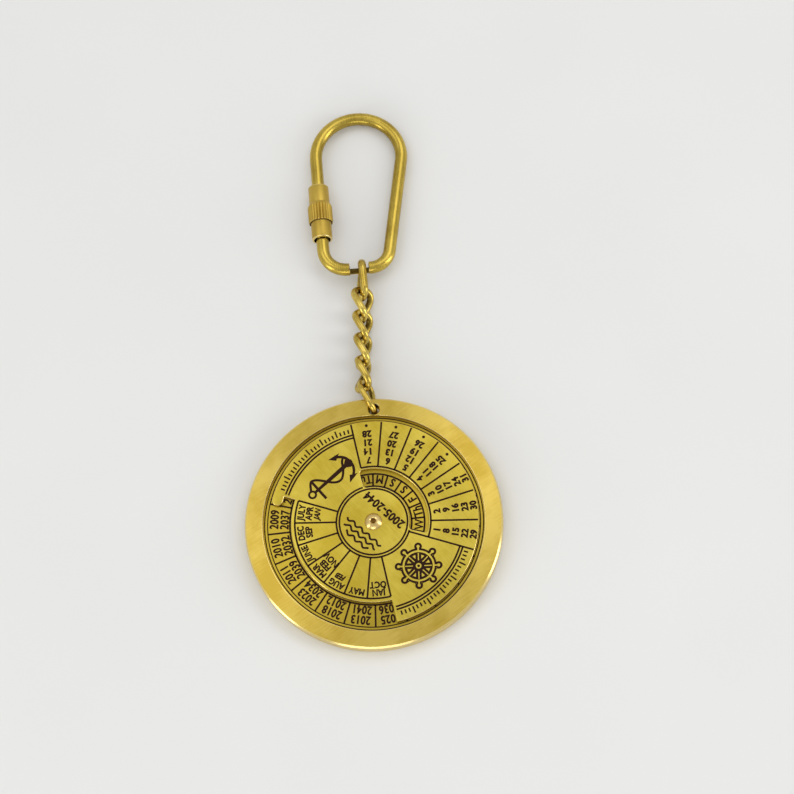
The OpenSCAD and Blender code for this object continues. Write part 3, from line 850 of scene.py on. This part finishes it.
def twisted_oval(share, length, width, start, end):
    """Point at a share of the way round an oval along y that is turned from its lower to its upper end."""
    radius = width / 2
    side = length - width
    bend = math.pi * radius
    way = (share % 1) * 2 * (side + bend)
    if way < side:
        x, y = radius, radius + way
    elif way < side + bend:
        a = (way - side) / radius
        x, y = radius * math.cos(a), radius + side + radius * math.sin(a)
    elif way < 2 * side + bend:
        x, y = -radius, radius + side - (way - side - bend)
    else:
        a = math.pi + (way - 2 * side - bend) / radius
        x, y = radius * math.cos(a), radius + radius * math.sin(a)
    turned = start + (end - start) * y / length
    return Vector((x * math.cos(turned), y, x * math.sin(turned)))


def sweep(bm, stations, closed=False):
    """Draws a round wire through a row of places, each scaled to the wire's radius there."""
    ring = bmesh.ops.create_circle(bm, segments=wire_sides, radius=1.0, matrix=stations[0])["verts"]
    edges = list({e for v in ring for e in v.link_edges})
    for before, after in zip(stations, stations[1:] + stations[:1] * closed):
        drawn = bmesh.ops.extrude_edge_only(bm, edges=edges)["geom"]
        ring = {g for g in drawn if isinstance(g, bmesh.types.BMVert)}
        edges = [g for g in drawn if isinstance(g, bmesh.types.BMEdge) and ring.issuperset(g.verts)]
        bmesh.ops.transform(bm, matrix=after @ before.inverted(), verts=list(ring))


def wire_link(length, width, wire, start, end, place):
    """Closed link of round wire along a twisted oval."""
    middle = Vector((0, length / 2, 0))
    near = 0.2
    stations = []
    for i in range(wire_stations):
        behind, point, ahead = (
            twisted_oval((i + step) / wire_stations, length, width, start, end) for step in (-near, 0, near)
        )
        along = (ahead - behind).normalized()
        out = point - middle
        out = (out - out.dot(along) * along).normalized()
        across = along.cross(out)
        turned = Matrix((out * wire / 2, across * wire / 2, along)).transposed().to_4x4()
        stations.append(place @ Matrix.Translation(point) @ turned)
    bm = bmesh.new()
    sweep(bm, stations, closed=True)
    return bm


def faces_in(heart):
    """Rule for the painted shade, with some tarnish, on a bent wire: on the faces that face a point in its
    middle.
    """
    return lambda face: max(0.0, face.normal.dot((heart - face.calc_center_median()).normalized()))


# Drawn wire, tumbled: it gives the eye small bright glints, with soft marks about 0.6 mm across, and
# painted shade, dark brown with some tarnish, on the inner side of each link.
chain_brass = brass(
    "tumbled_brass_wire", "#dac062", "#b4983f", "#584618", (0.6, 0.6, 0.6), (0.2, 0.32), 0.07,
)
ring_axis = Vector(joints["ring_swing"]["axis"])
ring_along = Vector((0, 0, 1)).cross(ring_axis)
ring_length = (places["link_1_swing"] - places["ring_swing"]).length + ring_bend
ring_place = frame_of(places["ring_swing"] - ring_along * ring_bend, ring_axis, ring_along)
ring_mesh = wire_link(ring_length, 2 * ring_bend, ring_wire, ring_turn, ring_turn + ring_twist, ring_place)
add_piece(
    "rim_ring_brass", ring_mesh, chain_brass, "rim_ring", "chain_brass", "rim_ring",
    smooth_below=70, shade_and_tarnish=faces_in(ring_place @ Vector((0, ring_length / 2, 0))),
)

# Chain links
# Four curb links of round brass wire. Each is bent to an oval, hooked into the one before it and twisted a
# quarter turn, and its joint is soldered.
link_wire = 1.4
link_length = 6.5
link_width = 4.6
link_twist = math.radians(90)
link_play = 0.14
first_play = 0.26
first_turn = math.radians(85)
next_turn = math.radians(8)
chain_along = (places["hanger_swing"] - places["link_2_swing"]).normalized()
chain_across = chain_along.cross(Vector((0, 0, 1)))
link_low = places["link_1_swing"] - chain_along * ((ring_wire + link_wire) / 2 + first_play)
link_step = link_length - link_wire - link_play
for i in range(4):
    link_turn = first_turn + i * next_turn
    link_place = frame_of(link_low + i * link_step * chain_along, chain_across, chain_along)
    link_mesh = wire_link(
        link_length, link_width, link_wire,
        link_turn - link_twist / 2, link_turn + link_twist / 2, link_place,
    )
    body = f"chain_link_{i + 1}"
    add_piece(
        f"{body}_brass", link_mesh, chain_brass, body, "chain_brass", body,
        smooth_below=70, shade_and_tarnish=faces_in(link_place @ Vector((0, link_length / 2, 0))),
    )

# Hanger link
# A plain oval link of stouter brass wire between the chain and the clip, bent and soldered shut. Its upper
# end lies round the clip's neck.
hanger_wire = 1.6
hanger_length = 7.3
hanger_width = 3.5
hanger_turn_low, hanger_turn_high = math.radians(66), math.radians(90)
hanger_low = link_low + chain_along * (
    3 * link_step + link_length - (link_wire + hanger_wire) / 2 - link_play
)
hanger_place = frame_of(hanger_low, chain_across, chain_along)
hanger_mesh = wire_link(
    hanger_length, hanger_width, hanger_wire, hanger_turn_low, hanger_turn_high, hanger_place
)
add_piece(
    "hanger_link_brass", hanger_mesh, chain_brass, "hanger_link", "chain_brass", "hanger_link",
    smooth_below=70, shade_and_tarnish=faces_in(hanger_place @ Vector((0, hanger_length / 2, 0))),
)

# Clip
# A brass rod bent to a D: a straight gate leg, a wide top bend and a leaning back leg. The middle of its
# foot is turned down to a neck that the hanger link rides on, and its lower tip is threaded.
clip_axis = Vector(joints["clip_swing"]["axis"])
clip_up = Vector(joints["sleeve_travel"]["axis"])
neck_drop = 0.55
clip_shift = 0.5
clip_place = frame_of(
    places["clip_swing"] + clip_up * neck_drop - clip_axis * clip_shift, clip_axis, clip_up
)
rod_radius = 1.25
neck_radius = 0.6
neck_half = 1.9
shoulder = 0.12
gate_x = 6.9
gate_bend = 4.6
back_bend = 4.1
back_lean = math.radians(11.2)
top_bend = 8.7
top_x = top_bend - gate_x
leg_height = 25.1
back_x = top_x + (
    top_bend - leg_height * math.sin(back_lean) - back_bend * (1 - math.sin(back_lean))
) / math.cos(back_lean)
bend_step = math.radians(6)
tip_y = 9
upper_end_y = 13.7
end_round = 0.3
thread_turns = 3
thread_pitch = 0.5
thread_depth = 0.12
crest_half = 0.06
# Share of painted shade on the inside of the clip's bends.
bend_painted_shade = 0.35


def rod_station(x, y, heading, radius):
    """Place across the rod at a point of the clip's plane, for a rod that heads at an angle there."""
    along = Vector((math.cos(heading), math.sin(heading), 0))
    side = Vector((along.y, -along.x, 0))
    turned = Matrix((side * radius, Vector((0, 0, -radius)), along)).transposed().to_4x4()
    return clip_place @ Matrix.Translation((x, y, 0)) @ turned


def rod_bend(x, y, bend, start, end):
    """Places round a bend about a point, at an even spacing."""
    count = math.ceil(abs(end - start) / bend_step)
    return [
        rod_station(x + bend * math.cos(a), y + bend * math.sin(a), a + math.pi / 2, rod_radius)
        for a in (start + (end - start) * i / count for i in range(count + 1))
    ]


down = -math.pi / 2
stations = [
    rod_station(-gate_x, tip_y, down, rod_radius - end_round),
    rod_station(-gate_x, tip_y - end_round, down, rod_radius - thread_depth),
]
for i in range(thread_turns):
    crest_y = tip_y - end_round - (i + 0.5) * thread_pitch
    stations += [
        rod_station(-gate_x, crest_y + crest_half, down, rod_radius),
        rod_station(-gate_x, crest_y - crest_half, down, rod_radius),
        rod_station(-gate_x, crest_y - thread_pitch / 2, down, rod_radius - thread_depth),
    ]
stations.append(rod_station(-gate_x, crest_y - thread_pitch / 2 - thread_depth, down, rod_radius))
stations += rod_bend(gate_bend - gate_x, gate_bend, gate_bend, math.pi, 1.5 * math.pi)
for side, order in ((-1, 1), (1, -1)):
    steps = [
        rod_station(side * (neck_half + shoulder), 0, 0, rod_radius),
        rod_station(side * neck_half, 0, 0, rod_radius - shoulder),
        rod_station(side * neck_half, -neck_drop, 0, neck_radius),
    ]
    stations += steps[::order]
stations += rod_bend(back_x, back_bend, back_bend, 1.5 * math.pi, math.tau - back_lean)
stations += rod_bend(top_x, leg_height, top_bend, -back_lean, math.pi)
stations += [
    rod_station(-gate_x, upper_end_y + end_round, down, rod_radius),
    rod_station(-gate_x, upper_end_y, down, rod_radius - end_round),
]
clip_mesh = bmesh.new()
sweep(clip_mesh, stations)
ends = [e for e in clip_mesh.edges if e.is_boundary]
bmesh.ops.holes_fill(clip_mesh, edges=ends, sides=wire_sides)


def clip_sheltered(face):
    """Share of painted shade on the clip: all of it round the neck, and a little on the inside of the
    bends.
    """
    centre = face.calc_center_median()
    at = clip_place.inverted() @ centre
    if abs(at.x) < neck_half + shoulder and at.y < rod_radius:
        return 1.0
    inside = (clip_place @ Vector((0, leg_height / 2, 0)) - centre).normalized()
    return bend_painted_shade * max(0.0, face.normal.dot(inside))


# Drawn rod, tumbled and handled: it gives the eye one long soft highlight down each leg, with streaks 6 mm
# long, drawn 0.35 mm wide so that they show, and dark painted shade round the neck and inside the bends.
clip_brass = brass(
    "drawn_brass_rod", "#ceb350", "#b0963e", "#564418", (0.35, 6, 0.35), (0.22, 0.34), 0.06, clip_place,
)
add_piece(
    "clip_rod_brass", clip_mesh, clip_brass, "clip", "clip_brass", "clip_rod",
    smooth_below=40, shade_and_tarnish=clip_sheltered,
)

# Screw sleeve
# A brass sleeve turned and bored on a lathe, with a fluted collar that ramps down at its upper end. It runs
# on the gate leg and screws on to the clip's lower tip.
sleeve_low_y = 7
sleeve_length = 11.8
sleeve_radius = 2.05
sleeve_round = 0.2
sleeve_knee = knee * sleeve_round
bore_radius = 1.33
mouth_radius = 1.68
mouth_depth = 0.8
collar_radius = 2.45
collar_low = 3.75
collar_high = 8.05
collar_ease = 0.12
ramp = 0.8
ramp_steps = 6
flutes = 22
flute_depth = 0.25
flute_half = 0.36
flute_steps = 10
ramp_rings = [
    (
        collar_radius + (sleeve_radius - collar_radius) * i / ramp_steps,
        collar_high - ramp + ramp * i / ramp_steps,
    )
    for i in range(ramp_steps + 1)
]
sleeve_mesh = bmesh.new()
turn(sleeve_mesh, [
    (bore_radius, mouth_depth), (mouth_radius, mouth_depth), (mouth_radius, 0),
    (sleeve_radius - sleeve_round, 0), (sleeve_radius - sleeve_knee, sleeve_knee),
    (sleeve_radius, sleeve_round), (sleeve_radius, collar_low),
    (collar_radius - collar_ease, collar_low), (collar_radius, collar_low + collar_ease), *ramp_rings,
    (sleeve_radius, sleeve_length - sleeve_round),
    (sleeve_radius - sleeve_knee, sleeve_length - sleeve_knee),
    (sleeve_radius - sleeve_round, sleeve_length),
    (bore_radius, sleeve_length), (bore_radius, mouth_depth),
], flutes * flute_steps)
# The cutter of each flute runs out on the ramp.
for vert in sleeve_mesh.verts:
    radius = math.hypot(vert.co.x, vert.co.y)
    share = (math.atan2(vert.co.y, vert.co.x) / math.tau * flutes) % 1
    cut = collar_radius - flute_depth * max(0.0, 1 - abs(share - 0.5) / flute_half)
    if radius > cut:
        vert.co.x *= cut / radius
        vert.co.y *= cut / radius
sleeve_foot = clip_place @ Matrix.Translation((-gate_x, sleeve_low_y, 0))
sleeve_place = sleeve_foot @ Matrix.Rotation(-math.pi / 2, 4, "X")
bmesh.ops.transform(sleeve_mesh, matrix=sleeve_place, verts=sleeve_mesh.verts)


def sleeve_sheltered(face):
    """Whether a face gets painted shade: in the sleeve's bore or under its collar's step."""
    near = 0.02
    at = sleeve_place.inverted() @ face.calc_center_median()
    return float(math.hypot(at.x, at.y) < mouth_radius + near or abs(at.z - collar_low) < near)


# Turned on a lathe: it gives the eye a softer shine than the rod, with fine rings round the sleeve, drawn
# 0.22 mm apart so that they show, and nearly black painted shade in its bore and under its collar's step.
sleeve_brass = brass(
    "turned_brass_sleeve", "#ccae50", "#b49642", "#453612", (30, 30, 0.22), (0.38, 0.48), 0.16,
    sleeve_place,
)
add_piece(
    "screw_sleeve_brass", sleeve_mesh, sleeve_brass, "sleeve", "sleeve_brass", "screw_sleeve",
    smooth_below=25, shade_and_tarnish=sleeve_sheltered,
)

# Table, light and camera
# A plain pale table top, on which the body's front edge and the lowest link lie, two soft lamps above,
# three low strip lights round the front, an even pale sky, and the camera high in front.
table_size = 1500
table_gap = 0.02
table_front = -body_radius
table_lean = min(
    math.atan2(vert.co.z / mm, vert.co.y / mm - table_front)
    for piece in pieces for vert in piece.data.vertices if vert.co.y > 0
)
table_place = Matrix.Scale(mm, 4) @ Matrix.Translation((0, table_front, -table_gap))
table_mesh = bmesh.new()
bmesh.ops.create_grid(table_mesh, x_segments=1, y_segments=1, size=table_size)
bmesh.ops.transform(
    table_mesh, verts=table_mesh.verts, matrix=table_place @ Matrix.Rotation(table_lean, 4, "X"),
)
table_top = bpy.data.meshes.new("table_top")
table_mesh.to_mesh(table_top)
table_mesh.free()
table = bpy.data.objects.new("table_top", table_top)
bpy.context.scene.collection.objects.link(table)
# Matt paint: it gives the eye a plain pale ground that takes the soft shadows, with faint clouds of 40 mm.
pale_paint = bpy.data.materials.new("pale_matt_paint")
pale_paint.use_nodes = True
tree = pale_paint.node_tree
tree.nodes.clear()
paint_cloud = 40
speck = add_node(tree, "ShaderNodeTexNoise", {
    "Vector": add_node(tree, "ShaderNodeTexCoord").outputs["Object"],
    "Scale": 1 / (paint_cloud * mm), "Detail": 2.0,
})
base = add_node(tree, "ShaderNodeMix", {
    "Factor": speck.outputs["Fac"], 6: colour("#e4e4e2"), 7: colour("#e9e9e7"),
}, data_type="RGBA")
shader = add_node(tree, "ShaderNodeBsdfPrincipled", {"Base Color": base.outputs[2], "Roughness": 0.8})
add_node(tree, "ShaderNodeOutputMaterial", {"Surface": shader.outputs["BSDF"]})
table_top.materials.append(pale_paint)

studio = bpy.data.worlds.new("studio")
bpy.context.scene.world = studio
studio.use_nodes = True
tree = studio.node_tree
tree.nodes.clear()
height = add_node(tree, "ShaderNodeSeparateXYZ", {
    "Vector": add_node(tree, "ShaderNodeTexCoord").outputs["Generated"],
})
level = add_node(tree, "ShaderNodeMapRange", {
    "Value": height.outputs["Z"], "From Min": 0.0, "From Max": 1.0, "To Min": 0.66, "To Max": 0.63,
})
sky = add_node(tree, "ShaderNodeBackground", {
    "Color": colour("#ffffff"), "Strength": level.outputs["Result"],
})
add_node(tree, "ShaderNodeOutputWorld", {"Surface": sky.outputs["Background"]})

aim = Vector((4.56, 25.2, 2.9)) * mm


def look_from(azimuth, elevation, distance):
    """Place at angles in degrees and a distance from the aim that looks at it with +Y up the picture."""
    level_out = polar(math.cos(math.radians(elevation)), math.radians(azimuth))
    out = Vector((*level_out, math.sin(math.radians(elevation))))
    right = Vector((0, 1, 0)).cross(out).normalized()
    return frame_of(aim + out * distance, right, out.cross(right))


for name, azimuth, elevation, distance, size, watts in (
    ("upper_right", 57, 53, 0.72, (0.44, 0.44), 0.75),
    ("upper_left", 164, 60, 0.72, (0.44, 0.44), 0.6),
    ("right_strip", -8, 10, 0.6, (0.8, 0.18), 1.6),
    ("front_strip", 266, 19, 0.7, (0.5, 0.14), 0.8),
    ("left_strip", 214, 11, 0.6, (0.5, 0.16), 0.9),
):
    lamp = bpy.data.lights.new(name, "AREA")
    lamp.shape = "RECTANGLE"
    lamp.size, lamp.size_y = size
    lamp.energy = watts
    light = bpy.data.objects.new(name, lamp)
    light.matrix_world = look_from(azimuth, elevation, distance)
    bpy.context.scene.collection.objects.link(light)

camera_lens = bpy.data.cameras.new("camera")
camera_lens.lens = 116.56
camera_lens.sensor_width = 36
camera = bpy.data.objects.new("camera", camera_lens)
camera.matrix_world = look_from(azimuth=282.37, elevation=71.216, distance=0.5035)
bpy.context.scene.collection.objects.link(camera)
bpy.context.scene.camera = camera
bpy.context.scene.view_settings.view_transform = "Standard"
